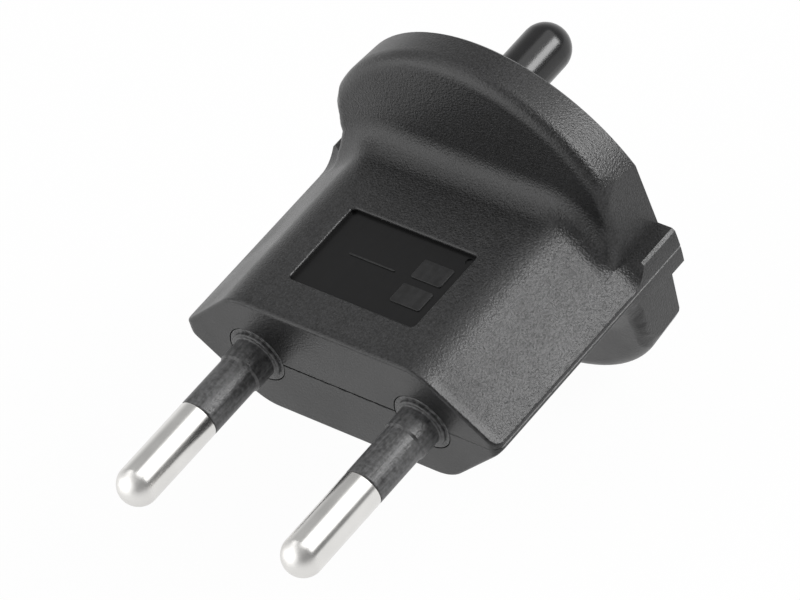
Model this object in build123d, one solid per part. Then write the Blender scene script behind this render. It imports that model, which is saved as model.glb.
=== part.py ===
from build123d import *
import math
import os

# Two-pole plug adapter: a flat hexagonal body with two half-sleeved round pins in front,
# and behind it a round flange that frames a socket face with a dummy earth post.
# The origin is the middle of the front face, between the pins. The pins point along -Y,
# the socket opens along +Y, and +Z is the side with the rating plate. Lengths are in mm.

# Contact pins
pin_pitch = 19.0
pin_diameter = 4.0
pin_length = 19.0
pin_neck_diameter = 3.0
pin_collar_diameter = 5.4
pin_collar_length = 1.2
spigot_diameter = 2.4

# Insulating sleeves
sleeve_reach = 8.5
sleeve_step_reach = 2.7
sleeve_step_diameter = 4.4
sleeve_lip_reach = 0.35
sleeve_lip_diameter = 5.2
sleeve_boss_diameter = 6.0
sleeve_collar_diameter = 7.4
sleeve_collar_length = 1.1

# Hexagonal body, made of two half shells that meet at z = 0
body_width = 36.0
body_height = 13.5
body_side_height = 0.76
shoulder_width = 21.6
shoulder_radius = 4.5
front_edge_radius = 0.3
front_corner_radius = 1.0
parting_chamfer = 0.08
wall = 2.0
front_wall = 2.4
barrier = 1.6

# Flange
body_length = 27.1
flange_thickness = 6.0
flange_lean = 6.0
flange_front_radius = 1.4
rear_chamfer = 0.1
flange_wall = 2.2
throat_radius = 2.8
flat_draft = 5.0
tab_width = 1.95
tab_thickness = 4.3
tab_length = 4.4
tab_chamfer = 0.25

# Rating plate, sunk into the top
plate_width = 14.3
plate_length = 9.4
plate_middle = 9.1
plate_depth = 0.5
plate_corner_radius = 0.4
ejector_diameter = 0.8
ejector_depth = 0.12
ejector_inset = 0.6

# Socket face with the dummy earth post
face_thickness = 2.6
face_setback = 0.4
tongue_depth = 0.8
tongue_thickness = 1.0
entry_diameter = 5.5
entry_chamfer = 0.5
post_diameter = 4.8
post_reach = 10.3
post_height = 10.4

# Contacts and their spring clips
contact_bore = 4.9
contact_wall = 0.65
contact_base = 1.5
contact_flange_diameter = 7.2
contact_flange_length = 1.0
contact_end_gap = 0.2
contact_lead_in = 0.3
slot_width = 0.7
slot_length = 12.0
clip_length = 2.4
clip_thickness = 0.4
clip_inset = 1.2
clip_groove_depth = 0.2
clip_gap_angle = 50.0

# Cradle ribs, and pegs that line the shells up
rib_thickness = 1.6
cradle_depth = 0.5
rear_rib_station = 16.0
middle_peg_diameter = 2.4
middle_peg_height = 1.8
middle_peg_stations = (8.0, 19.0)
peg_boss_diameter = 4.6
tab_peg_diameter = 1.2
tab_peg_height = 1.1
tab_peg_setback = 1.2

# Clearances
seat_clearance = 0.08
fit_clearance = 0.02
peg_clearance = 0.06

# Values that follow from the sizes above
pole_x = pin_pitch / 2
half_height = body_height / 2
flange_diameter = body_width
flange_radius = flange_diameter / 2
flange_front = body_length - flange_thickness
tab_front = body_length - tab_length
flat_x = flange_radius - tab_width
tab_top = tab_thickness / 2
face_back = body_length - face_setback
face_front = face_back - face_thickness
collar_start = front_wall + sleeve_collar_length
base_start = collar_start + pin_collar_length
flange_end = base_start + contact_flange_length
bore_start = base_start + contact_base
contact_end = face_front - contact_end_gap
contact_radius = contact_bore / 2 + contact_wall
clip_end = contact_end - clip_inset
clip_start = clip_end - clip_length
clip_groove_radius = contact_radius - clip_groove_depth
clip_inner_radius = clip_groove_radius + fit_clearance
clip_outer_radius = clip_inner_radius + clip_thickness
tab_peg_x = (flat_x + flange_radius) / 2
tab_peg_y = tab_front + tab_peg_setback
reach = 2 * flange_diameter


def block(x_limits, y_limits, z_limits):
    """A box by its limits along each axis."""
    limits = (x_limits, y_limits, z_limits)
    middle = [sum(pair) / 2 for pair in limits]
    size = [pair[1] - pair[0] for pair in limits]
    return Pos(*middle) * Box(*size)


def along_y(section, start, end):
    """A face drawn in XZ, as a bar between two depths."""
    return Pos(0, start, 0) * extrude(Plane.XZ * section, amount=start - end)


def rod(diameter, start, end):
    return along_y(Circle(diameter / 2), start, end)


def turned(points):
    """A body of revolution about Y, from points of radius and depth."""
    return revolve(make_face(Polyline(*points, close=True)), Axis.Y)


def at_poles(shape):
    return Pos(-pole_x, 0, 0) * shape + Pos(pole_x, 0, 0) * shape


def hexagon():
    """The body's section: flat top and bottom, sloping facets and narrow upright sides."""
    foot = body_width / 2
    side = body_side_height / 2
    shoulder = shoulder_width / 2
    upper = [(foot, side), (shoulder, half_height), (-shoulder, half_height), (-foot, side)]
    lower = [(x, -z) for x, z in reversed(upper)]
    outline = make_face(Polyline(*upper, *lower, close=True))
    shoulders = [v for v in outline.vertices() if abs(v.Y) > half_height - wall / 2]
    return fillet(shoulders, shoulder_radius)


def stem():
    """The upper half of the body, as a bar with its front corners and edges rounded."""
    plan = Pos(0, body_length / 2) * Rectangle(body_width, body_length)
    plan = fillet(plan.vertices().sort_by(Axis.Y)[:2], front_corner_radius)
    bar = along_y(hexagon(), 0, body_length) & rod(flange_diameter, 0, body_length)
    bar &= extrude(plan, amount=body_height, both=True)
    front = [
        e for e in bar.edges().filter_by(Axis.Z, reverse=True)
        if max(v.Y for v in e.vertices()) < front_corner_radius + fit_clearance
    ]
    bar = fillet(front, front_edge_radius)
    return bar & block((-reach, reach), (0, body_length), (0, reach))


def behind_front(front, low):
    """All that lies behind a leaning front face, down to a given height."""
    beyond = Pos(0, front, 0) * Rot(X=-flange_lean) * block((-reach, reach), (0, reach), (-reach, reach))
    return beyond & block((-reach, reach), (0, body_length), (low, reach))


def throat(front):
    """The concave round that leads the body's top and facets up into a front face."""
    low = -throat_radius
    slope = (body_width - shoulder_width) / (body_height - body_side_height)
    foot = body_width / 2 + (body_side_height / 2 - low) * slope
    shoulder = shoulder_width / 2
    corners = [(foot, low), (shoulder, half_height), (-shoulder, half_height), (-foot, low)]
    section = make_face(Polyline(*corners, close=True))
    section = fillet(section.vertices().sort_by(Axis.Y)[-2:], shoulder_radius)
    joined = along_y(section, 0, body_length) + behind_front(front, low)
    seam = [
        e for e in joined.edges()
        if e.center().Z > low / 2
        and all(abs(v.X) < foot + throat_radius for v in e.vertices())
        and all(front - throat_radius < v.Y < body_length - throat_radius for v in e.vertices())
    ]
    return fillet(seam, throat_radius) & rod(flange_diameter, front - throat_radius, body_length)


def disc():
    """The upper half of the flange: a turned disc with a rounded rim, leaning back from its rear edge."""
    depth = flange_thickness * math.cos(math.radians(flange_lean))
    section = Pos(flange_radius / 2, 0) * Rectangle(flange_radius, 2 * depth)
    rim = section.vertices().sort_by(Axis.Y)[:2].sort_by(Axis.X)[-1]
    section = fillet(rim, flange_front_radius)
    leaning = Pos(0, body_length, 0) * Rot(X=-flange_lean) * revolve(section, Axis.Y)
    return leaning & block((-reach, reach), (0, body_length), (0, reach))


def within_rear():
    """All that lies in front of the rear face and inside the chamfer round it."""
    edge = flange_radius - rear_chamfer
    return turned([
        (0, -reach),
        (reach, -reach),
        (reach, body_length + edge - reach),
        (edge, body_length),
        (0, body_length),
    ])


def between_flats():
    """All that lies between the two flats, which lean inwards from the tabs up."""
    draft = math.tan(math.radians(flat_draft))
    foot = flat_x + tab_top * draft
    head = foot - reach * draft
    section = make_face(Polyline((-foot, 0), (foot, 0), (head, reach), (-head, reach), close=True))
    return along_y(section, 0, body_length)


def outer_half():
    """The outside of one half of the housing, closed, with its flat at z = 0."""
    between = between_flats()
    flare = throat(flange_front) - behind_front(flange_front, -reach)
    form = stem() + (flare & between) + (disc() & within_rear() & between)
    tab_start = tab_front - throat_radius
    tabs = throat(tab_front) & block((-reach, reach), (tab_start, body_length), (0, tab_top))
    form += tabs - between
    tab_edges = [
        e for e in form.edges().filter_by(Axis.Y)
        if abs(e.center().Z - tab_top) < fit_clearance and abs(e.center().X) > tab_peg_x
    ]
    form = chamfer(tab_edges, tab_chamfer)
    seam = form.faces().sort_by(Axis.Z)[0].edges()
    return chamfer(seam, parting_chamfer)


def face_outline(gap):
    """The socket face's outline, drawn in from the flange by its wall and a gap."""
    radius = flange_radius - flange_wall - gap
    width = 2 * (flat_x - flange_wall - gap)
    return Circle(radius) & Rectangle(width, 2 * radius)


def socket_room(gap):
    """The socket face's plate with the tongue round its edge, drawn in by a gap."""
    tongue_middle = (face_front + face_back) / 2
    tongue = tongue_thickness / 2 - gap
    plate = along_y(face_outline(gap), face_front, face_back)
    return plate + along_y(face_outline(gap - tongue_depth), tongue_middle - tongue, tongue_middle + tongue)


def pole_room():
    """The space that a pin's sleeve, collar and contact take between the shells."""
    gap = seat_clearance
    boss = rod(sleeve_boss_diameter + 2 * gap, -reach, front_wall)
    collar = rod(sleeve_collar_diameter + 2 * gap, front_wall, collar_start)
    shoulder = rod(pin_collar_diameter + 2 * gap, collar_start, base_start)
    flange = rod(contact_flange_diameter + 2 * gap, base_start, flange_end)
    barrel = rod(2 * (contact_radius + gap), flange_end, face_front)
    clip = rod(2 * (clip_outer_radius + gap), clip_start - gap, clip_end + gap)
    return at_poles(boss + collar + shoulder + flange + barrel + clip)


def cavity():
    """The hollow of the housing, less the barrier between the poles and the cradle ribs."""
    hollow = along_y(offset(hexagon(), -wall), front_wall, face_front)
    rib_foot = contact_radius + seat_clearance - cradle_depth
    for start in (flange_end, rear_rib_station):
        hollow -= block((-reach, reach), (start, start + rib_thickness), (rib_foot, reach))
    hollow -= block((-barrier / 2, barrier / 2), (0, body_length), (-reach, reach))
    for station in middle_peg_stations:
        hollow -= Pos(0, station, 0) * Cylinder(peg_boss_diameter / 2, reach)
    return hollow


def half_shell():
    """One half of the housing, hollowed for what it holds."""
    form = outer_half()
    form -= cavity()
    form -= socket_room(0)
    form -= block((-reach, reach), (face_back, reach), (-reach, reach)) & along_y(face_outline(0), 0, reach)
    return form - pole_room()


def pegs(gap):
    """The pegs that line the shells up, grown by a gap for their holes."""
    tall = middle_peg_height + gap
    short = tab_peg_height + gap
    middle = Cylinder(middle_peg_diameter / 2 + gap, tall, align=(Align.CENTER, Align.CENTER, Align.MIN))
    small = Cylinder(tab_peg_diameter / 2 + gap, short, align=(Align.CENTER, Align.CENTER, Align.MIN))
    group = [Pos(0, y, 0) * middle for y in middle_peg_stations]
    group += [Pos(x, tab_peg_y, 0) * small for x in (-tab_peg_x, tab_peg_x)]
    return Part() + group


def upper_shell():
    form = half_shell() - pegs(peg_clearance)
    recess = extrude(RectangleRounded(plate_width, plate_length, plate_corner_radius), amount=plate_depth)
    form -= Pos(0, plate_middle, half_height - plate_depth) * recess
    mark_x = plate_width / 2 - ejector_inset
    mark_y = plate_middle + plate_length / 2 - ejector_inset
    mark = Cylinder(ejector_diameter / 2, 2 * ejector_depth)
    return form - Pos(mark_x, mark_y, half_height - plate_depth) * mark


def lower_shell():
    return mirror(half_shell(), about=Plane.XY) + pegs(0)


def contact_pin():
    """A turned pin: domed shank, neck under the sleeve, shoulder, and a spigot in the contact's base."""
    radius = pin_diameter / 2
    neck = pin_neck_diameter / 2
    spigot = spigot_diameter / 2
    dome_start = radius - pin_length
    shank = [
        (0, dome_start),
        (radius, dome_start),
        (radius, -sleeve_reach),
        (neck, -sleeve_reach),
        (neck, collar_start),
        (pin_collar_diameter / 2, collar_start),
        (pin_collar_diameter / 2, base_start),
        (spigot, base_start),
        (spigot, bore_start),
        (0, bore_start),
    ]
    return turned(shank) + Pos(0, dome_start, 0) * Sphere(radius)


def sleeve():
    """The insulating sleeve: a tube round the neck, stepped up at the face, with a collar behind the wall."""
    bore = pin_neck_diameter / 2 + fit_clearance
    outline = [
        (bore, -sleeve_reach),
        (pin_diameter / 2, -sleeve_reach),
        (pin_diameter / 2, -sleeve_step_reach),
        (sleeve_step_diameter / 2, -sleeve_step_reach),
        (sleeve_step_diameter / 2, -sleeve_lip_reach),
        (sleeve_lip_diameter / 2, -sleeve_lip_reach),
        (sleeve_lip_diameter / 2, 0),
        (sleeve_boss_diameter / 2, 0),
        (sleeve_boss_diameter / 2, front_wall),
        (sleeve_collar_diameter / 2, front_wall),
        (sleeve_collar_diameter / 2, collar_start),
        (bore, collar_start),
    ]
    return turned(outline)


def contact():
    """A turned socket for the other plug's pin: flanged base, slotted barrel, groove for its clip."""
    bore = contact_bore / 2
    hole = spigot_diameter / 2 + fit_clearance
    outline = [
        (hole, base_start),
        (contact_flange_diameter / 2, base_start),
        (contact_flange_diameter / 2, flange_end),
        (contact_radius, flange_end),
        (contact_radius, clip_start - fit_clearance),
        (clip_groove_radius, clip_start - fit_clearance),
        (clip_groove_radius, clip_end + fit_clearance),
        (contact_radius, clip_end + fit_clearance),
        (contact_radius, contact_end),
        (bore + contact_lead_in, contact_end),
        (bore, contact_end - contact_lead_in),
        (bore, bore_start),
        (hole, bore_start),
    ]
    slots = block((-reach, reach), (contact_end - slot_length, reach), (-slot_width / 2, slot_width / 2))
    return turned(outline) - slots


def clip():
    """A spring ring round the contact's barrel, open at the top."""
    middle = (clip_start + clip_end) / 2
    radius = (clip_inner_radius + clip_outer_radius) / 2
    section = Pos(radius, middle) * Rectangle(clip_thickness, clip_length)
    return Rot(Y=(clip_gap_angle - 180) / 2) * revolve(section, Axis.Y, revolution_arc=360 - clip_gap_angle)


def socket_face():
    """The plate between the shells with the two entries, and the dummy earth post standing on it."""
    form = socket_room(seat_clearance)
    tip = face_back + post_reach - post_diameter / 2
    post = rod(post_diameter, face_front, tip) + Pos(0, tip, 0) * Sphere(post_diameter / 2)
    form += Pos(0, 0, post_height) * post
    entry = turned([
        (0, 0),
        (entry_diameter / 2, 0),
        (entry_diameter / 2, face_back - entry_chamfer),
        (entry_diameter / 2 + entry_chamfer, face_back),
        (0, face_back),
    ])
    return form - at_poles(entry)


def write(name, form):
    export_step(form, os.path.join("parts", name + ".step"))


os.makedirs("parts", exist_ok=True)
write("upper_shell", upper_shell())
write("lower_shell", lower_shell())
write("socket_face", socket_face())
pole_pieces = {"pin": contact_pin(), "sleeve": sleeve(), "contact": contact(), "spring": clip()}
for side, x in (("left", -pole_x), ("right", pole_x)):
    for name, form in pole_pieces.items():
        write(f"{side}_{name}", Pos(x, 0, 0) * form)
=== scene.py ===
"""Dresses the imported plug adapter: finishes, turned pins and sleeves, rating plate and studio."""

import math

import bmesh
import bpy
from bpy.props import FloatProperty, FloatVectorProperty, IntProperty, PointerProperty
from mathutils import Matrix, Vector, kdtree, noise


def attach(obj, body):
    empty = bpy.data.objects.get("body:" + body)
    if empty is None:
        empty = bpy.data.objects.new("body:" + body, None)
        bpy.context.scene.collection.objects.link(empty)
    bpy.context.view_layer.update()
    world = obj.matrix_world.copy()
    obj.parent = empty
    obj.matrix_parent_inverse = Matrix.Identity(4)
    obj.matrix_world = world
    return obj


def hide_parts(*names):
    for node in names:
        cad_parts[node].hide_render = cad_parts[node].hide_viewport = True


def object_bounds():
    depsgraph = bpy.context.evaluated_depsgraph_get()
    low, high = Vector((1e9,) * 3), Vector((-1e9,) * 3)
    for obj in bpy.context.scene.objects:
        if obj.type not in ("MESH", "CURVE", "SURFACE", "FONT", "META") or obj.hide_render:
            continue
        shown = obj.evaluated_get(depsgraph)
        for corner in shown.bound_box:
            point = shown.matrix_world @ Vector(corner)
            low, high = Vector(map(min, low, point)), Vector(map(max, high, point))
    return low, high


bl_info = {
    "name": "Plug adapter",
    "version": (1, 0, 0),
    "blender": (4, 5, 0),
    "location": "3D View > Sidebar > Adapter",
    "description": "Finishes and fine pieces of a flat two-pole plug adapter on its packed frame",
    "category": "Object",
}

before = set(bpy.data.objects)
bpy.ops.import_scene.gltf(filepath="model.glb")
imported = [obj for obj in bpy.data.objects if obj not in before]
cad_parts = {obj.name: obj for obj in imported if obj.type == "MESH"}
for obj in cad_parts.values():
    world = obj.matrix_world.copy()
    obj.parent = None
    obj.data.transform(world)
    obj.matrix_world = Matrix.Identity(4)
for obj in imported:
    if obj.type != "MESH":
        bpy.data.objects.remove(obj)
cad_box = [list(corner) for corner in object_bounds()]
BODY = "root"
MM = 0.001


def length(name, description, value, top=0.1):
    """A length in metres, given in millimetres."""
    return FloatProperty(
        name=name, description=description, default=value * MM, min=0.0, max=top, precision=5, unit="LENGTH"
    )


def colour(name, description, value):
    return FloatVectorProperty(
        name=name, description=description, default=value, size=3, min=0.0, max=1.0, subtype="COLOR"
    )


def share(name, description, value):
    return FloatProperty(
        name=name, description=description, default=value, min=0.0, max=1.0, subtype="FACTOR"
    )


def brightness(name, description, value):
    return FloatProperty(name=name, description=description, default=value, min=0.0)


def turn_angle(name, description, degrees):
    return FloatProperty(name=name, description=description, default=math.radians(degrees), subtype="ANGLE")


class AdapterSizes(bpy.types.PropertyGroup):
    """Sizes of the turned pieces, the plate, the flange's flats and the mould line."""

    segments: IntProperty(
        name="Segments", description="Flats round each turned piece", default=128, min=24, max=256
    )
    pole_offset: length("Pole offset", "Distance of each pole from the middle", 9.5)
    pin_radius: length("Pin radius", "Radius of the bare pin", 2.0)
    pin_length: length("Pin length", "Reach of the pin in front of the face", 19.0)
    pin_round: length("Pin edge round", "Round on the pin's shoulder at the sleeve", 0.12)
    neck_radius: length("Neck radius", "Radius of the pin inside its sleeve", 1.5)
    collar_radius: length("Pin collar radius", "Radius of the collar behind the wall", 2.7)
    spigot_radius: length("Spigot radius", "Radius of the end riveted in the contact", 1.2)
    sleeve_reach: length("Sleeve reach", "Reach of the sleeve in front of the face", 8.5)
    sleeve_round: length("Sleeve edge round", "Round on the sleeve's free end", 0.16)
    step_reach: length("Step reach", "Reach of the sleeve's thicker root", 2.7)
    step_taper: length("Step taper", "Length over which the sleeve swells to its root", 0.22)
    step_radius: length("Step radius", "Radius of the sleeve's thicker root", 2.16)
    lip_reach: length("Lip reach", "Height of the ring round the sleeve's root", 0.3)
    lip_radius: length("Lip radius", "Radius of the ring round the sleeve's root", 2.58)
    boss_radius: length("Boss radius", "Radius of the sleeve in the front wall", 3.0)
    sleeve_collar_radius: length("Sleeve collar radius", "Radius of the sleeve behind the wall", 3.7)
    front_wall: length("Front wall", "Thickness of the wall that the sleeves pass through", 2.4)
    collar_start: length("Collar start", "Depth of the pin's collar", 3.5)
    base_start: length("Base start", "Depth of the contact's base", 4.7)
    bore_start: length("Bore start", "Depth of the contact's bore", 6.2)
    half_height: length("Half height", "Height of the body's top above the mould line", 6.75)
    plate_width: length("Plate width", "Width of the plate's recess", 14.3)
    plate_length: length("Plate length", "Length of the plate's recess", 9.4)
    plate_middle: length("Plate middle", "Distance of the plate's middle from the front", 9.1)
    plate_depth: length("Plate depth", "Depth of the plate's recess", 0.5)
    plate_round: length("Plate edge round", "Round on the recess's upper edge", 0.2)
    relief: length("Relief", "Height of the raised rule and pads on the plate", 0.12)
    flat_reach: length("Flat reach", "Distance of the flange's flats from the middle, at the tabs", 16.05)
    flat_round: length("Flat round", "Width that the blend from the flare to each flat takes up", 1.1)
    tab_top: length("Tab top", "Height of the tabs' tops above the mould line", 2.15)
    seam_chamfer: length("Seam chamfer", "Chamfer along the mould line", 0.08)
    seam_depth: length("Seam depth", "Depth of the open mould line between the pins", 0.8)
    seam_swell: length("Seam swell", "Most that the open mould line widens", 0.15)


class AdapterFinish(bpy.types.PropertyGroup):
    """Colours and surface of each material."""

    shell: colour("Shell", "Matte black of the housing", (0.0105, 0.0105, 0.0108))
    plate: colour("Plate", "Smooth black inside the plate's recess", (0.004, 0.004, 0.0042))
    pad: colour("Pad", "Duller black of the plate's raised pads", (0.009, 0.009, 0.0093))
    sleeve: colour("Sleeve", "Black of the insulating sleeves", (0.062, 0.062, 0.063))
    socket: colour("Socket", "Polished black of the socket face and post", (0.006, 0.006, 0.0064))
    nickel: colour("Nickel", "Bright plating of the pins", (0.80, 0.79, 0.77))
    brass: colour("Brass", "Turned brass of the contacts", (0.74, 0.55, 0.25))
    steel: colour("Steel", "Spring steel of the clip rings", (0.52, 0.52, 0.53))
    shell_roughness: share("Shell roughness", "Roughness of the matte grain", 0.36)
    grain: length("Grain", "Width of one grain of the moulded texture", 0.18)
    grain_depth: length("Grain depth", "Depth of the moulded texture", 0.055)


class AdapterStudio(bpy.types.PropertyGroup):
    """Camera and light."""

    azimuth: turn_angle("Azimuth", "Camera's turn from the pins", 51.64)
    elevation: turn_angle("Elevation", "Camera's height", 43.43)
    roll: turn_angle("Roll", "Camera's tilt", 19.26)
    distance: length("Distance", "Camera's distance", 600.0, top=5.0)
    aim_right: length("Aim right", "Shift of the view to the right", 5.349)
    aim_up: length("Aim up", "Shift of the view upwards", 7.702)
    lens: FloatProperty(
        name="Lens", description="Focal length in millimetres", default=308.38, min=10, max=1000
    )
    key: brightness("Key", "Brightness of the softbox on the right", 11.0)
    pins: brightness("Pins", "Brightness of the same softbox on the pins", 1.6)
    top: brightness("Top", "Brightness of the softbox overhead", 1.25)
    left: brightness("Left", "Brightness of the panel on the left", 1.3)
    front: brightness("Front", "Brightness of the panel in front", 1.5)
    fill: brightness("Fill", "Strength of the even light all round", 0.2)
    room: brightness("Room", "Brightness of the room in reflections", 0.48)
    wall: brightness("Wall", "Brightness of the room low down on the left", 0.9)
    corner: brightness("Corner", "Brightness of the room's right-hand side", 0.24)


def settings():
    scene = bpy.context.scene
    return scene.adapter_sizes, scene.adapter_finish, scene.adapter_studio


# Shader node groups


def shader_group(name, inputs, outputs):
    group = bpy.data.node_groups.new(name, "ShaderNodeTree")
    for label, kind, value in inputs:
        socket = group.interface.new_socket(label, in_out="INPUT", socket_type=kind)
        if value is not None:
            socket.default_value = value
    for label, kind in outputs:
        group.interface.new_socket(label, in_out="OUTPUT", socket_type=kind)
    source = group.nodes.new("NodeGroupInput")
    target = group.nodes.new("NodeGroupOutput")
    return group, source, target


def add(tree, kind, links=(), **values):
    """A node with its properties set, its sockets filled and its inputs linked."""
    node = tree.nodes.new(kind)
    for key, value in values.items():
        setattr(node, key, value)
    for socket, value in links:
        if isinstance(value, bpy.types.NodeSocket):
            tree.links.new(value, node.inputs[socket])
        else:
            node.inputs[socket].default_value = value
    return node


def math_node(tree, operation, a, b=0.0, clamp=False):
    return add(tree, "ShaderNodeMath", [(0, a), (1, b)], operation=operation, use_clamp=clamp).outputs[0]


def ramp(tree, value, start, end, low, high):
    """A value that goes from low to high between two places."""
    node = add(tree, "ShaderNodeMapRange", [("Value", value), ("From Min", start), ("From Max", end)])
    node.inputs["To Min"].default_value = low
    node.inputs["To Max"].default_value = high
    return node.outputs[0]


def grain_group():
    """Spark-eroded mould grain: fine pebbles, deepest on the body's top, and broad patches of gloss."""
    if "Moulded grain" in bpy.data.node_groups:
        return bpy.data.node_groups["Moulded grain"]
    group, source, target = shader_group(
        "Moulded grain",
        [("Vector", "NodeSocketVector", None), ("Scale", "NodeSocketFloat", 4000.0)],
        [("Height", "NodeSocketFloat"), ("Speckle", "NodeSocketFloat"), ("Patch", "NodeSocketFloat")],
    )
    vector, scale = source.outputs[:2]
    pits = add(group, "ShaderNodeTexVoronoi", [("Vector", vector), ("Scale", scale)], feature="SMOOTH_F1")
    fine = add(group, "ShaderNodeTexNoise", [("Vector", vector), ("Scale", scale), ("Detail", 3.0)])
    broad = add(group, "ShaderNodeTexNoise", [("Vector", vector), ("Scale", 160.0), ("Detail", 2.0)])
    pitted = math_node(group, "MULTIPLY", pits.outputs["Distance"], 0.5)
    mixed = math_node(group, "SUBTRACT", fine.outputs[0], pitted)
    _, depth, rise = add(group, "ShaderNodeSeparateXYZ", [(0, vector)]).outputs
    shallow = 0.6
    behind_face = ramp(group, depth, 0.3 * MM, 1.2 * MM, 0.0, 1.0)
    before_rim = ramp(group, depth, 22.0 * MM, 26.0 * MM, 1.0, shallow)
    above_seam = ramp(group, rise, 0.0, 0.4 * MM, 0.0, 1.0)
    body = math_node(group, "MULTIPLY", behind_face, before_rim)
    body = math_node(group, "MULTIPLY", body, above_seam)
    held = math_node(group, "MULTIPLY", mixed, math_node(group, "MAXIMUM", body, shallow))
    group.links.new(held, target.inputs["Height"])
    group.links.new(fine.outputs[0], target.inputs["Speckle"])
    group.links.new(broad.outputs[0], target.inputs["Patch"])
    return group


def turning_group():
    """Fine rings left by a lathe round the Y axis, with faint smears of use."""
    if "Turning marks" in bpy.data.node_groups:
        return bpy.data.node_groups["Turning marks"]
    group, source, target = shader_group(
        "Turning marks",
        [("Vector", "NodeSocketVector", None), ("Pitch", "NodeSocketFloat", 9000.0)],
        [("Height", "NodeSocketFloat"), ("Smear", "NodeSocketFloat")],
    )
    vector, pitch = source.outputs[:2]
    squeezed = add(
        group, "ShaderNodeVectorMath", [(0, vector), (1, (0.02, 1.0, 0.02))], operation="MULTIPLY"
    ).outputs[0]
    rings = add(group, "ShaderNodeTexNoise", [("Vector", squeezed), ("Scale", pitch), ("Detail", 2.0)])
    smear = add(group, "ShaderNodeTexNoise", [("Vector", vector), ("Scale", 420.0), ("Detail", 1.0)])
    group.links.new(rings.outputs[0], target.inputs["Height"])
    group.links.new(smear.outputs[0], target.inputs["Smear"])
    return group


def flow_group():
    """Streaks that run along Y where molten plastic flowed along the mould, broken by fine scuffs."""
    if "Flow streaks" in bpy.data.node_groups:
        return bpy.data.node_groups["Flow streaks"]
    group, source, target = shader_group(
        "Flow streaks",
        [("Vector", "NodeSocketVector", None), ("Scale", "NodeSocketFloat", 1800.0)],
        [("Height", "NodeSocketFloat")],
    )
    vector, scale = source.outputs[:2]
    drawn = add(
        group, "ShaderNodeVectorMath", [(0, vector), (1, (1.0, 0.06, 1.0))], operation="MULTIPLY"
    ).outputs[0]
    streaks = add(group, "ShaderNodeTexNoise", [("Vector", drawn), ("Scale", scale), ("Detail", 3.0)])
    scuffs = add(group, "ShaderNodeTexNoise", [("Vector", vector), ("Scale", scale), ("Detail", 3.0)])
    broken = math_node(group, "MULTIPLY", math_node(group, "ADD", streaks.outputs[0], scuffs.outputs[0]), 0.5)
    group.links.new(broken, target.inputs["Height"])
    return group


def blank_material(name):
    material = bpy.data.materials.new(name)
    material.use_nodes = True
    tree = material.node_tree
    tree.nodes.clear()
    out = tree.nodes.new("ShaderNodeOutputMaterial")
    shader = tree.nodes.new("ShaderNodeBsdfPrincipled")
    tree.links.new(shader.outputs[0], out.inputs["Surface"])
    place = tree.nodes.new("ShaderNodeTexCoord").outputs["Object"]
    return material, tree, shader, place


def ranged(tree, value, low, high):
    """A noise value spread between two limits."""
    return ramp(tree, value, 0.3, 0.7, low, high)


def tinted(tree, value, dark, light):
    node = add(tree, "ShaderNodeMix", [(0, value)], data_type="RGBA")
    node.inputs[6].default_value = (*dark, 1.0)
    node.inputs[7].default_value = (*light, 1.0)
    return node.outputs[2]


def bumped(tree, height, depth):
    links = [("Height", height), ("Distance", depth), ("Strength", 1.0)]
    return add(tree, "ShaderNodeBump", links).outputs[0]


def shell_material():
    """Matte black plastic with a pebbled grain and specks of paler and darker black."""
    finish = settings()[1]
    material, tree, shader, place = blank_material("matte_black_grain")
    grain = add(tree, "ShaderNodeGroup", [], node_tree=grain_group())
    tree.links.new(place, grain.inputs["Vector"])
    grain.inputs["Scale"].default_value = 1.0 / finish.grain
    speckle = ranged(tree, grain.outputs["Speckle"], 0.0, 1.0)
    shade = tinted(tree, speckle, [0.0, 0.0, 0.0], [c * 2.6 for c in finish.shell])
    tree.links.new(shade, shader.inputs["Base Color"])
    middle, spread = finish.shell_roughness, 0.04
    rough = ranged(tree, grain.outputs["Patch"], middle - spread, middle + spread)
    tree.links.new(rough, shader.inputs["Roughness"])
    tree.links.new(bumped(tree, grain.outputs["Height"], finish.grain_depth), shader.inputs["Normal"])
    return material


def gloss_material(name, tint, roughness, streak_scale, streak_depth, contrast, specular=0.5):
    """Smooth black plastic with flow streaks."""
    material, tree, shader, place = blank_material(name)
    shader.inputs["Specular IOR Level"].default_value = specular
    flow = add(tree, "ShaderNodeGroup", [], node_tree=flow_group())
    tree.links.new(place, flow.inputs["Vector"])
    flow.inputs["Scale"].default_value = streak_scale
    streak = ramp(tree, flow.outputs["Height"], 0.38, 0.62, 0.0, 1.0)
    shade = tinted(tree, streak, [c * (1 - contrast) for c in tint], [c * (1 + contrast) for c in tint])
    tree.links.new(shade, shader.inputs["Base Color"])
    spread = 0.15 * contrast
    rough = ranged(tree, flow.outputs["Height"], roughness - spread, roughness + spread)
    tree.links.new(rough, shader.inputs["Roughness"])
    tree.links.new(bumped(tree, flow.outputs["Height"], streak_depth), shader.inputs["Normal"])
    return material


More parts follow.
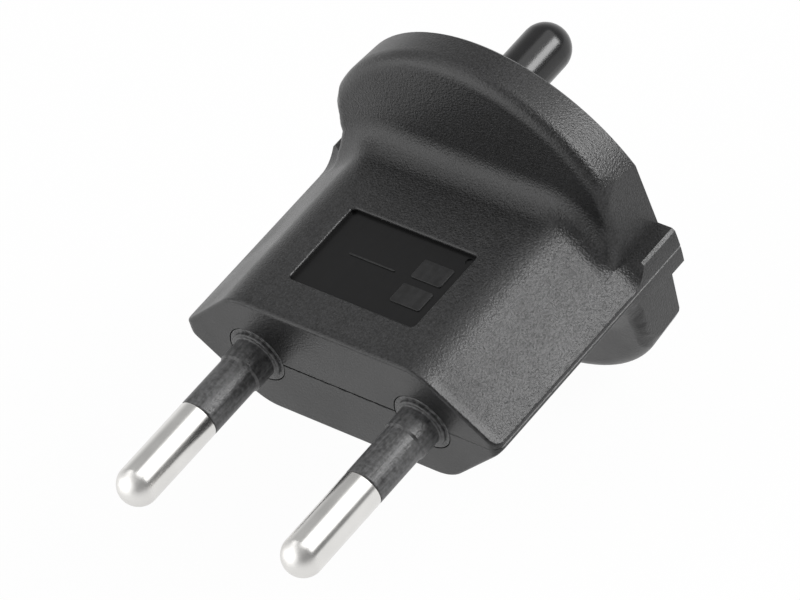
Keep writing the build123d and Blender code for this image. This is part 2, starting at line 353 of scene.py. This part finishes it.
def metal_material(name, tint, roughness, pitch, depth, dulled=0.0):
    """Turned metal with fine rings and faint smears, duller beyond a reach along the pins."""
    material, tree, shader, place = blank_material(name)
    shader.inputs["Metallic"].default_value = 1.0
    marks = add(tree, "ShaderNodeGroup", [], node_tree=turning_group())
    tree.links.new(place, marks.inputs["Vector"])
    marks.inputs["Pitch"].default_value = pitch
    smear = marks.outputs["Smear"]
    shade = tinted(tree, ranged(tree, smear, 0.0, 1.0), [c * 0.93 for c in tint], tint)
    tree.links.new(shade, shader.inputs["Base Color"])
    spread = 0.02
    rough = ranged(tree, smear, roughness - spread, roughness + spread)
    if dulled:
        along = add(tree, "ShaderNodeSeparateXYZ", [(0, place)]).outputs[1]
        extra = ramp(tree, along, -dulled - 0.7 * MM, -dulled, 0.2, 0.0)
        rough = math_node(tree, "ADD", rough, extra)
    tree.links.new(rough, shader.inputs["Roughness"])
    tree.links.new(bumped(tree, marks.outputs["Height"], depth), shader.inputs["Normal"])
    return material


# Meshes

# Points nearer than this are one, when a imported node's loose triangles are joined.
JOINED = 0.0002 * MM
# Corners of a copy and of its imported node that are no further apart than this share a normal.
SAME_PLACE = 0.0005 * MM
# Cosine of the largest angle between faces that are shaded as one surface.
ALIKE = 0.9
# How much of the mould line's chamfer is left where the line is closed.
CLOSED = 0.1
# Cuts along each lip of the open mould line, and the widths of its ripples.
RIPPLES = 36
BROAD_RIPPLE = 0.9 * MM
FINE_RIPPLE = 0.3 * MM
# Width of the facets in the blend beside the flats, and the rounds that refine and ease it.
BLEND_FACET = 0.2 * MM
REFINE_ROUNDS = 9
BLEND_ROUNDS = 180
# Rounds that even out the blend's shading, and the area below which a face's own slope isn't trusted.
SHADE_ROUNDS = 8
SLIVER = (0.01 * MM) ** 2


def rounded(points, rounds, steps=5):
    """An outline whose listed corners are replaced by arcs."""
    out = []
    for i, point in enumerate(points):
        radius = rounds.get(i, 0.0)
        here = Vector(point)
        if not radius:
            out.append(here)
            continue
        to_last = (Vector(points[i - 1]) - here).normalized()
        to_next = (Vector(points[(i + 1) % len(points)]) - here).normalized()
        half = to_last.angle(to_next) / 2
        reach = radius / math.tan(half)
        middle = here + (to_last + to_next).normalized() * (radius / math.sin(half))
        start = here + to_last * reach - middle
        end = here + to_next * reach - middle
        first = math.atan2(start.y, start.x)
        sweep = (math.atan2(end.y, end.x) - first + math.pi) % (2 * math.pi) - math.pi
        for step in range(steps + 1):
            angle = first + sweep * step / steps
            out.append(middle + radius * Vector((math.cos(angle), math.sin(angle))))
    return out


def turned_tree():
    """Sweeps an outline of radius and depth round the Y axis, at a given place across."""
    name = "Turned piece"
    if name in bpy.data.node_groups:
        return bpy.data.node_groups[name]
    tree = bpy.data.node_groups.new(name, "GeometryNodeTree")
    face = tree.interface
    face.new_socket("Geometry", in_out="INPUT", socket_type="NodeSocketGeometry")
    face.new_socket("Segments", in_out="INPUT", socket_type="NodeSocketInt")
    face.new_socket("Across", in_out="INPUT", socket_type="NodeSocketFloat")
    face.new_socket("Height", in_out="INPUT", socket_type="NodeSocketFloat")
    face.new_socket("Material", in_out="INPUT", socket_type="NodeSocketMaterial")
    face.new_socket("Geometry", in_out="OUTPUT", socket_type="NodeSocketGeometry")
    source = tree.nodes.new("NodeGroupInput")
    target = tree.nodes.new("NodeGroupOutput")
    outline = source.outputs["Geometry"]
    segments = source.outputs["Segments"]
    count = add(tree, "GeometryNodeAttributeDomainSize", [("Geometry", outline)]).outputs["Point Count"]
    columns = math_node(tree, "ADD", segments, 1.0)
    grid = add(tree, "GeometryNodeMeshGrid", [("Vertices X", columns), ("Vertices Y", count)]).outputs["Mesh"]
    index = tree.nodes.new("GeometryNodeInputIndex").outputs[0]
    column = math_node(tree, "FLOOR", math_node(tree, "DIVIDE", math_node(tree, "ADD", index, 0.5), count))
    row = math_node(tree, "SUBTRACT", index, math_node(tree, "MULTIPLY", column, count))
    position = tree.nodes.new("GeometryNodeInputPosition").outputs[0]
    sample = add(
        tree, "GeometryNodeSampleIndex", [("Geometry", outline)], data_type="FLOAT_VECTOR", domain="POINT"
    )
    tree.links.new(position, sample.inputs["Value"])
    tree.links.new(row, sample.inputs["Index"])
    parts = add(tree, "ShaderNodeSeparateXYZ", [(0, sample.outputs[0])]).outputs
    turn = math_node(tree, "DIVIDE", math_node(tree, "MULTIPLY", column, 2 * math.pi), segments)
    x = math_node(tree, "MULTIPLY", parts[0], math_node(tree, "COSINE", turn))
    z = math_node(tree, "MULTIPLY", parts[0], math_node(tree, "SINE", turn))
    x = math_node(tree, "ADD", x, source.outputs["Across"])
    z = math_node(tree, "ADD", z, source.outputs["Height"])
    place = add(tree, "ShaderNodeCombineXYZ", [(0, x), (1, parts[1]), (2, z)]).outputs[0]
    moved = add(tree, "GeometryNodeSetPosition", [("Geometry", grid), ("Position", place)]).outputs[0]
    closed = add(tree, "GeometryNodeMergeByDistance", [("Geometry", moved), ("Distance", 1e-7)]).outputs[0]
    real = add(tree, "GeometryNodeRealizeInstances", [(0, closed)]).outputs[0]
    finish = source.outputs["Material"]
    done = add(tree, "GeometryNodeSetMaterial", [("Geometry", real), ("Material", finish)])
    tree.links.new(done.outputs[0], target.inputs[0])
    return tree


def at_mould_line(edge, y, z):
    """Whether an edge runs along the mould line at a depth behind the front and a height."""
    near = 0.005 * MM
    return all(abs(v.co.y - y) < near and abs(abs(v.co.z) - z) < near for v in edge.verts)


def open_seam(work):
    """Widens the mould line unevenly between the pins, and closes it on the left."""
    sizes = settings()[0]
    inside = sizes.pole_offset - sizes.boss_radius
    outside = -sizes.pole_offset - sizes.boss_radius
    lips = [e for e in work.edges if at_mould_line(e, 0.0, sizes.seam_chamfer)]
    roots = [e for e in work.edges if at_mould_line(e, sizes.seam_chamfer, 0.0)]
    for vert in {v for e in lips + roots for v in e.verts if v.co.x < outside}:
        vert.co.y *= CLOSED
        vert.co.z *= CLOSED
    for vert in {v for e in roots for v in e.verts if abs(v.co.x) < inside}:
        vert.co.y = sizes.seam_depth
    middle = [e for e in lips if all(abs(v.co.x) < inside for v in e.verts)]
    cut = bmesh.ops.subdivide_edges(work, edges=middle, cuts=RIPPLES)
    for vert in (v for v in cut["geom_inner"] if isinstance(v, bmesh.types.BMVert)):
        ripple = noise.noise(vert.co / BROAD_RIPPLE) + 0.5 * noise.noise(vert.co / FINE_RIPPLE)
        vert.co.z += math.copysign(sizes.seam_swell * max(0.0, 0.35 + ripple), vert.co.z)


def in_plate(place, margin):
    """Whether a point lies in the plate's recess, or on its edge."""
    sizes = settings()[0]
    return (abs(place.x) < sizes.plate_width / 2 + margin
            and abs(place.y - sizes.plate_middle) < sizes.plate_length / 2 + margin
            and place.z > sizes.half_height - sizes.plate_depth - sizes.relief - margin)


def folds(work, least):
    """The edges that stand out where two faces meet at an angle."""
    return [e for e in work.edges
            if len(e.link_faces) == 2 and e.is_convex and e.calc_face_angle() > math.radians(least)]


def flat_creases(work):
    """The edges where the flare runs into the flange's flats."""
    sizes = settings()[0]
    low, high = sizes.flat_reach - 0.8 * MM, sizes.flat_reach + 0.05 * MM
    found = []
    for edge in folds(work, 6.0):
        level = [abs(f.normal.x) > 0.99 and abs(f.normal.y) < 0.01 for f in edge.link_faces]
        forward = any(f.normal.y < -0.1 for f in edge.link_faces)
        if sum(level) == 1 and forward and all(low < abs(v.co.x) < high for v in edge.verts):
            found.append(edge)
    return found


def distance_to(edges, step):
    """A function that gives a point's distance from the nearest of some edges."""
    spots = []
    for edge in edges:
        start, end = (v.co.copy() for v in edge.verts)
        steps = max(1, math.ceil((end - start).length / step))
        spots += [start.lerp(end, i / steps) for i in range(steps + 1)]
    line = kdtree.KDTree(len(spots))
    for i, spot in enumerate(spots):
        line.insert(spot, i)
    line.balance()
    return lambda place: line.find(place)[2]


def refine(work, away, reach, fine):
    """Halves the edges near some others until they are short."""
    for _ in range(REFINE_ROUNDS):
        wide = []
        for edge in work.edges:
            size = edge.calc_length()
            start, end = (v.co for v in edge.verts)
            if size <= fine or away((start + end) / 2) - size / 2 > reach:
                continue
            steps = max(2, math.ceil(2 * size / reach))
            if min(away(start.lerp(end, i / steps)) for i in range(steps + 1)) < reach:
                wide.append(edge)
        if not wide:
            return
        chosen = set(wide)
        many = [f for f in work.faces if len(f.verts) > 3 and chosen.intersection(f.edges)]
        bmesh.ops.triangulate(work, faces=many)
        bmesh.ops.subdivide_edges(work, edges=wide, cuts=1)


def soften(work, edges, reach, floor):
    """Rounds edges by easing the points near them, above a height: gives those and all near points."""
    if not edges:
        return set(), set()
    away = distance_to(edges, BLEND_FACET / 8)
    refine(work, away, reach, BLEND_FACET)
    near = {}
    for vert in work.verts:
        far = away(vert.co)
        if far < reach and abs(vert.co.z) > floor:
            pull = 1.0 - far / reach
            near[vert] = pull * pull * (3.0 - 2.0 * pull)
    loose = [f for f in work.faces if len(f.verts) > 3 and any(v in near for v in f.verts)]
    bmesh.ops.triangulate(work, faces=loose, ngon_method="BEAUTY", quad_method="BEAUTY")
    for _ in range(BLEND_ROUNDS):
        places = {}
        for vert, weight in near.items():
            beside = [e.other_vert(vert).co for e in vert.link_edges]
            places[vert] = vert.co.lerp(sum(beside, Vector()) / len(beside), 0.5 * weight)
        for vert, place in places.items():
            vert.co = place
    work.verts.index_update()
    moved = {v.index for v in near}
    return moved, moved | {v.index for v in work.verts if away(v.co) < 1.5 * reach}


def corner_key(mesh, loop):
    return tuple(round(c / SAME_PLACE) for c in mesh.vertices[loop.vertex_index].co)


def evened(mesh, moved, around):
    """Normals of the moved points, evened out between neighbours."""
    normals = {i: sum(around[i], Vector()).normalized() for i in moved}
    pairs = [tuple(e.vertices) for e in mesh.edges if set(e.vertices) <= moved]
    for _ in range(SHADE_ROUNDS):
        total = {i: normal.copy() for i, normal in normals.items()}
        for a, b in pairs:
            total[a] += normals[b]
            total[b] += normals[a]
        normals = {i: normal.normalized() for i, normal in total.items()}
    return normals


def fresh_normal(face, index, even, around):
    """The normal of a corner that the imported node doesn't have."""
    if index in even:
        return even[index]
    beside = around.get(index, [])
    if face.area > SLIVER:
        beside = [n for n in beside if n.dot(face.normal) > ALIKE * n.length]
    return sum(beside, Vector()).normalized() if beside else face.normal.copy()


def carry_shading(source, mesh, moved, eased):
    """Gives a copy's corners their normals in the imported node, and new ones by the faces round them."""
    known = {}
    for face in source.polygons:
        for i in face.loop_indices:
            pair = (face.normal.copy(), source.corner_normals[i].vector.copy())
            known.setdefault(corner_key(source, source.loops[i]), []).append(pair)
    around = {i: [] for i in eased}
    for face in mesh.polygons:
        for i in set(face.vertices) & eased:
            around[i].append(face.normal * face.area)
    even = evened(mesh, moved, around)
    unknown = (Vector(), Vector())
    normals = []
    for face in mesh.polygons:
        for i in face.loop_indices:
            loop = mesh.loops[i]
            matches = known.get(corner_key(mesh, loop), [])
            facing, normal = max(matches, key=lambda m: m[0].dot(face.normal), default=unknown)
            if facing.dot(face.normal) <= ALIKE:
                normal = fresh_normal(face, loop.vertex_index, even, around)
            normals.append(normal)
    mesh.normals_split_custom_set(normals)


def housing_piece(name, node, grain, smooth):
    """A merged copy of a shell: plate edge rounded, seam opened, flats blended and plate smooth."""
    sizes = settings()[0]
    margin = 0.02 * MM
    work = bmesh.new()
    work.from_mesh(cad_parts[node].data)
    bmesh.ops.remove_doubles(work, verts=work.verts[:], dist=JOINED)
    bmesh.ops.dissolve_degenerate(work, dist=JOINED / 2, edges=work.edges[:])
    level = math.radians(0.3)
    bmesh.ops.dissolve_limit(work, angle_limit=level, verts=work.verts[:], edges=work.edges[:])
    open_seam(work)
    rim = [e for e in work.edges if e.is_convex and e.calc_face_angle() > math.radians(60)
           and all(in_plate(v.co, margin) and v.co.z > sizes.half_height - margin for v in e.verts)]
    if rim:
        bmesh.ops.bevel(work, geom=rim, offset=sizes.plate_round, segments=3, profile=0.5, affect="EDGES")
    for face in work.faces:
        middle = face.calc_center_median()
        low = middle.z < sizes.half_height - sizes.plate_round
        face.material_index = int(low and in_plate(middle, margin))
    moved, eased = soften(work, flat_creases(work), sizes.flat_round, sizes.tab_top + 0.05 * MM)
    mesh = bpy.data.meshes.new(name)
    work.to_mesh(mesh)
    work.free()
    mesh.materials.append(grain)
    mesh.materials.append(smooth)
    mesh.shade_smooth()
    mesh.set_sharp_from_angle(angle=math.radians(32.0))
    carry_shading(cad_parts[node].data, mesh, moved, eased)
    return new_object(name, mesh)


def raised_pad(work, middle, size, corner, floor, height):
    """A low closed block with rounded corners and softened upper edges."""
    edge = height / 2
    rings = []
    for inset, level in ((0.0, floor - height), (0.0, floor + height - edge),
                         (edge * 0.3, floor + height - edge * 0.3), (edge, floor + height)):
        ring = []
        for turn, (sx, sy) in enumerate(((1, 1), (-1, 1), (-1, -1), (1, -1))):
            radius = max(corner - inset, 0.01 * MM)
            x = middle[0] + sx * (size[0] / 2 - inset - radius)
            y = middle[1] + sy * (size[1] / 2 - inset - radius)
            for step in range(5):
                angle = math.pi / 2 * (turn + step / 4)
                place = (x + radius * math.cos(angle), y + radius * math.sin(angle), level)
                ring.append(work.verts.new(place))
        rings.append(ring)
    for low, high in zip(rings, rings[1:]):
        for i in range(len(low)):
            j = (i + 1) % len(low)
            work.faces.new((low[i], low[j], high[j], high[i]))
    work.faces.new(rings[-1])
    work.faces.new(reversed(rings[0]))


def new_object(name, mesh):
    piece = bpy.data.objects.new(name, mesh)
    bpy.context.scene.collection.objects.link(piece)
    return piece


def finish_mesh(mesh, sharp=35.0):
    """Faces outwards, smooth but for edges sharper than an angle."""
    work = bmesh.new()
    work.from_mesh(mesh)
    bmesh.ops.dissolve_degenerate(work, dist=1e-8, edges=work.edges[:])
    bmesh.ops.recalc_face_normals(work, faces=work.faces[:])
    work.to_mesh(mesh)
    work.free()
    mesh.shade_smooth()
    mesh.set_sharp_from_angle(angle=math.radians(sharp))


def turned_piece(name, outline, across, material, height=0.0, closed=False):
    """A turned piece, swept by its geometry nodes and made a plain mesh."""
    sizes = settings()[0]
    points = [(p[0], p[1], 0.0) for p in outline]
    if closed:
        points.append(points[0])
    wire = bpy.data.meshes.new(name + "_outline")
    wire.from_pydata(points, [(i, i + 1) for i in range(len(points) - 1)], [])
    piece = new_object(name, wire)
    modifier = piece.modifiers.new("Turned", "NODES")
    tree = turned_tree()
    modifier.node_group = tree
    values = {"Segments": sizes.segments, "Across": across, "Height": height, "Material": material}
    for item in tree.interface.items_tree:
        if item.in_out == "INPUT" and item.name in values:
            modifier[item.identifier] = values[item.name]
    shown = piece.evaluated_get(bpy.context.evaluated_depsgraph_get())
    mesh = bpy.data.meshes.new_from_object(shown)
    piece.modifiers.clear()
    piece.data = mesh
    bpy.data.meshes.remove(wire)
    mesh.name = name
    if not mesh.polygons:
        raise RuntimeError(name + " came out empty")
    finish_mesh(mesh)
    return piece


def dress(node, material):
    """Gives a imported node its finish."""
    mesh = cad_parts[node].data
    mesh.materials.clear()
    mesh.materials.append(material)


SIDES = (("left", -1.0), ("right", 1.0))

# The plate's raised rule and pads, in millimetres: the middle's place from the plate's middle, across
# and along, then width, length and corner round.
RELIEF = (
    (-1.6, 0.3, 5.2, 0.2, 0.09),
    (4.4, 1.5, 3.4, 2.3, 0.25),
    (4.4, -1.6, 3.4, 2.3, 0.25),
)


class ADAPTER_OT_housing(bpy.types.Operator):
    """Finish the two halves of the housing"""

    bl_idname = "adapter.housing"
    bl_label = "Housing"

    def execute(self, context):
        finish = settings()[1]
        grain = shell_material()
        smooth = gloss_material(
            "smooth_black", finish.plate, roughness=0.3, streak_scale=1100.0, streak_depth=0.0003 * MM,
            contrast=0.1, specular=0.3,
        )
        for side in ("upper", "lower"):
            housing = housing_piece(side + "_housing", side + "_shell", grain, smooth)
            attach(housing, BODY)
            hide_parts(side + "_shell")
        return {"FINISHED"}


class ADAPTER_OT_plate(bpy.types.Operator):
    """Raise a rule and two blank pads on the plate"""

    bl_idname = "adapter.plate"
    bl_label = "Plate relief"

    def execute(self, context):
        sizes, finish, _ = settings()
        floor = sizes.half_height - sizes.plate_depth
        work = bmesh.new()
        for x, y, wide, long, corner in RELIEF:
            middle = (x * MM, sizes.plate_middle + y * MM)
            raised_pad(work, middle, (wide * MM, long * MM), corner * MM, floor, sizes.relief)
        mesh = bpy.data.meshes.new("plate_relief")
        work.to_mesh(mesh)
        work.free()
        mesh.materials.append(gloss_material(
            "matte_pad", finish.pad, roughness=0.42, streak_scale=1600.0, streak_depth=0.004 * MM,
            contrast=0.4, specular=0.4,
        ))
        finish_mesh(mesh, sharp=20.0)
        relief = new_object("plate_relief", mesh)
        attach(relief, BODY)
        return {"FINISHED"}


class ADAPTER_OT_pins(bpy.types.Operator):
    """Turn the two contact pins"""

    bl_idname = "adapter.pins"
    bl_label = "Pins"

    def execute(self, context):
        sizes, finish, _ = settings()
        radius = sizes.pin_radius
        dome = radius - sizes.pin_length
        material = metal_material(
            "bright_nickel", finish.nickel, roughness=0.23, pitch=9000.0, depth=0.0005 * MM, dulled=-dome
        )
        steps = 24
        angles = [math.pi / 2 * i / steps for i in range(steps + 1)]
        arc = [(radius * math.sin(angle), dome - radius * math.cos(angle)) for angle in angles]
        shank = rounded(
            [arc[-1], (radius, -sizes.sleeve_reach), (sizes.neck_radius, -sizes.sleeve_reach)],
            {1: sizes.pin_round},
        )
        rest = [
            (sizes.neck_radius, sizes.collar_start),
            (sizes.collar_radius, sizes.collar_start),
            (sizes.collar_radius, sizes.base_start),
            (sizes.spigot_radius, sizes.base_start),
            (sizes.spigot_radius, sizes.bore_start),
            (0.0, sizes.bore_start),
        ]
        outline = arc[:-1] + [tuple(p) for p in shank] + rest
        for side, sign in SIDES:
            pin = turned_piece(side + "_contact_pin", outline, sign * sizes.pole_offset, material)
            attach(pin, BODY)
            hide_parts(side + "_pin")
        return {"FINISHED"}


class ADAPTER_OT_sleeves(bpy.types.Operator):
    """Turn the insulating sleeves round the pins"""

    bl_idname = "adapter.sleeves"
    bl_label = "Sleeves"

    def execute(self, context):
        sizes, finish, _ = settings()
        material = gloss_material(
            "semi_gloss_black", finish.sleeve, roughness=0.4, streak_scale=2600.0, streak_depth=0.08 * MM,
            contrast=0.6,
        )
        fit = 0.02 * MM
        bore = sizes.neck_radius + fit
        corners = [
            (bore, -sizes.sleeve_reach),
            (sizes.pin_radius, -sizes.sleeve_reach),
            (sizes.pin_radius, -sizes.step_reach),
            (sizes.step_radius, sizes.step_taper - sizes.step_reach),
            (sizes.step_radius, -sizes.lip_reach),
            (sizes.lip_radius, -sizes.lip_reach),
            (sizes.lip_radius, 0.0),
            (sizes.boss_radius, 0.0),
            (sizes.boss_radius, sizes.front_wall),
            (sizes.sleeve_collar_radius, sizes.front_wall),
            (sizes.sleeve_collar_radius, sizes.collar_start),
            (bore, sizes.collar_start),
        ]
        fine = sizes.sleeve_round
        outline = rounded(corners, {1: fine, 2: fine / 2, 3: fine / 2, 4: fine, 5: fine, 7: fine / 2})
        for side, sign in SIDES:
            sleeve = turned_piece(
                side + "_insulating_sleeve", outline, sign * sizes.pole_offset, material, closed=True
            )
            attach(sleeve, BODY)
            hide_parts(side + "_sleeve")
        return {"FINISHED"}


class ADAPTER_OT_socket(bpy.types.Operator):
    """Finish the socket face and its post"""

    bl_idname = "adapter.socket"
    bl_label = "Socket face"

    def execute(self, context):
        finish = settings()[1]
        polished = gloss_material(
            "polished_black", finish.socket, roughness=0.23, streak_scale=900.0, streak_depth=0.002 * MM,
            contrast=0.2,
        )
        dress("socket_face", polished)
        return {"FINISHED"}


class ADAPTER_OT_contacts(bpy.types.Operator):
    """Finish the brass contacts and their spring rings"""

    bl_idname = "adapter.contacts"
    bl_label = "Contacts"

    def execute(self, context):
        finish = settings()[1]
        brass = metal_material("turned_brass", finish.brass, roughness=0.24, pitch=5000.0, depth=0.004 * MM)
        steel = metal_material("spring_strip", finish.steel, roughness=0.3, pitch=7000.0, depth=0.002 * MM)
        for side, _ in SIDES:
            dress(side + "_contact", brass)
            dress(side + "_spring", steel)
        return {"FINISHED"}


def white_to_camera(tree, direct, mirrored):
    """How white a surface shows to the camera, and in reflections or through glass."""
    path = tree.nodes.new("ShaderNodeLightPath").outputs
    seen = math_node(tree, "MULTIPLY", path["Is Camera Ray"], direct)
    glossy = math_node(tree, "MAXIMUM", path["Is Glossy Ray"], path["Is Transmission Ray"])
    return math_node(tree, "MAXIMUM", seen, math_node(tree, "MULTIPLY", glossy, mirrored))


class ADAPTER_OT_stage(bpy.types.Operator):
    """Set the floor, the light and the camera"""

    bl_idname = "adapter.stage"
    bl_label = "Studio"

    def execute(self, context):
        scene = context.scene
        studio = settings()[2]
        self.floor(cad_box[0][2] - 0.05 * MM)
        self.surround(scene, studio)
        self.lamps(scene, studio)
        self.camera(scene, studio)
        scene.view_settings.view_transform = "Standard"
        return {"FINISHED"}

    def floor(self, level):
        """A pale floor that shows nearly white and keeps the adapter's shadow."""
        half = 0.9
        mesh = bpy.data.meshes.new("floor")
        corners = [(-half, -half, level), (half, -half, level), (half, half, level), (-half, half, level)]
        mesh.from_pydata(corners, [], [(0, 1, 2, 3)])
        floor = new_object("floor", mesh)
        material = bpy.data.materials.new("pale_floor")
        material.use_nodes = True
        tree = material.node_tree
        tree.nodes.clear()
        out = tree.nodes.new("ShaderNodeOutputMaterial")
        paint = add(tree, "ShaderNodeBsdfDiffuse", [("Color", (0.8, 0.8, 0.8, 1.0))])
        glow = add(tree, "ShaderNodeEmission", [("Color", (1.0, 1.0, 1.0, 1.0)), ("Strength", 1.0)])
        seen = white_to_camera(tree, 0.97, 0.85)
        mixed = add(tree, "ShaderNodeMixShader", [(0, seen), (1, paint.outputs[0]), (2, glow.outputs[0])])
        tree.links.new(mixed.outputs[0], out.inputs["Surface"])
        mesh.materials.append(material)

    def surround(self, scene, studio):
        """Even light, and a room that only the camera and reflections see."""
        world = bpy.data.worlds.new("studio")
        scene.world = world
        world.use_nodes = True
        tree = world.node_tree
        tree.nodes.clear()
        out = tree.nodes.new("ShaderNodeOutputWorld")
        look = tree.nodes.new("ShaderNodeTexCoord").outputs["Generated"]
        across, _, rise = add(tree, "ShaderNodeSeparateXYZ", [(0, look)]).outputs
        wall = ramp(tree, rise, 0.0, 0.45, studio.wall, studio.room)
        right = ramp(tree, across, 0.0, 0.6, 0.0, 1.0)
        room = math_node(tree, "ADD", math_node(tree, "MULTIPLY", right, studio.corner),
                         math_node(tree, "MULTIPLY", math_node(tree, "SUBTRACT", 1.0, right), wall))
        above = math_node(tree, "MAXIMUM", room, ramp(tree, rise, 0.0, 0.06, 1.0, 0.0))
        plain = ("Color", (1.0, 1.0, 1.0, 1.0))
        even = add(tree, "ShaderNodeBackground", [plain, ("Strength", studio.fill)])
        white = add(tree, "ShaderNodeBackground", [plain, ("Strength", above)])
        seen = white_to_camera(tree, 1.0, 1.0)
        mixed = add(tree, "ShaderNodeMixShader", [(0, seen), (1, even.outputs[0]), (2, white.outputs[0])])
        tree.links.new(mixed.outputs[0], out.inputs["Surface"])

    def lamps(self, scene, studio):
        """Softboxes, each by its turn round the pins' axis, its lean along it, its size and brightness.

        The softbox on the right leaves out the pins, and a dimmer one lights only them.
        """
        far = 0.6
        for name, turn, lean, size, bright in (
            ("softbox_right", 50.0, 26.7, (0.27, 0.32), studio.key),
            ("softbox_pins", 48.0, 26.7, (0.30, 0.32), studio.pins),
            ("softbox_over", 12.0, 26.7, (0.40, 0.55), studio.top),
            ("panel_left", -35.0, -2.0, (0.25, 0.34), studio.left),
            ("panel_front", -50.0, -50.0, (0.90, 0.70), studio.front),
        ):
            turn, lean = math.radians(turn), math.radians(lean)
            flat = math.cos(lean)
            aim = Vector((flat * math.sin(turn), math.sin(lean), flat * math.cos(turn)))
            across = Vector((math.cos(turn), 0.0, -math.sin(turn)))
            lamp = bpy.data.lights.new(name, "AREA")
            lamp.shape = "RECTANGLE"
            lamp.size, lamp.size_y = size
            lamp.energy = bright * math.pi * size[0] * size[1]
            holder = bpy.data.objects.new(name, lamp)
            scene.collection.objects.link(holder)
            turned = Matrix((across, aim.cross(across), aim)).transposed().to_4x4()
            holder.matrix_world = Matrix.Translation(aim * far) @ turned
        pins = [bpy.data.objects[side + "_contact_pin"] for side, _ in SIDES]
        for name, state in (("softbox_right", "EXCLUDE"), ("softbox_pins", "INCLUDE")):
            lit = bpy.data.collections.new(name)
            bpy.data.objects[name].light_linking.receiver_collection = lit
            for pin in pins:
                lit.objects.link(pin)
            for entry in lit.collection_objects:
                entry.light_linking.link_state = state

    def camera(self, scene, studio):
        """The photograph's viewing angle, framing and tilt."""
        turn, rise, roll = studio.azimuth, studio.elevation, studio.roll
        back = Vector((math.cos(rise) * math.sin(turn), -math.cos(rise) * math.cos(turn), math.sin(rise)))
        level = Vector((math.cos(turn), math.sin(turn), 0.0))
        over = back.cross(level)
        right = level * math.cos(roll) - over * math.sin(roll)
        up = over * math.cos(roll) + level * math.sin(roll)
        lens = bpy.data.cameras.new("camera")
        lens.sensor_fit = "HORIZONTAL"
        lens.sensor_width = 36.0
        lens.lens = studio.lens
        lens.clip_start = 0.01
        lens.clip_end = 20.0
        holder = bpy.data.objects.new("camera", lens)
        scene.collection.objects.link(holder)
        place = back * studio.distance + right * studio.aim_right + up * studio.aim_up
        holder.matrix_world = Matrix.Translation(place) @ Matrix((right, up, back)).transposed().to_4x4()
        scene.camera = holder


OPERATORS = (
    ADAPTER_OT_housing,
    ADAPTER_OT_plate,
    ADAPTER_OT_pins,
    ADAPTER_OT_sleeves,
    ADAPTER_OT_socket,
    ADAPTER_OT_contacts,
    ADAPTER_OT_stage,
)


class ADAPTER_PT_panel(bpy.types.Panel):
    """Sizes, finishes and pieces of the adapter"""

    bl_idname = "ADAPTER_PT_panel"
    bl_label = "Plug adapter"
    bl_space_type = "VIEW_3D"
    bl_region_type = "UI"
    bl_category = "Adapter"

    def draw(self, context):
        for group in settings():
            box = self.layout.box()
            for name in group.__annotations__:
                box.prop(group, name)
        for operator in OPERATORS:
            self.layout.operator(operator.bl_idname)


CLASSES = (AdapterSizes, AdapterFinish, AdapterStudio, *OPERATORS, ADAPTER_PT_panel)


def register():
    for cls in CLASSES:
        bpy.utils.register_class(cls)
    bpy.types.Scene.adapter_sizes = PointerProperty(type=AdapterSizes)
    bpy.types.Scene.adapter_finish = PointerProperty(type=AdapterFinish)
    bpy.types.Scene.adapter_studio = PointerProperty(type=AdapterStudio)


def unregister():
    del bpy.types.Scene.adapter_studio
    del bpy.types.Scene.adapter_finish
    del bpy.types.Scene.adapter_sizes
    for cls in reversed(CLASSES):
        bpy.utils.unregister_class(cls)


def main():
    register()
    bpy.ops.adapter.housing()
    bpy.ops.adapter.plate()
    bpy.ops.adapter.pins()
    bpy.ops.adapter.sleeves()
    bpy.ops.adapter.socket()
    bpy.ops.adapter.contacts()
    bpy.ops.adapter.stage()


if __name__ == "__main__":
    main()
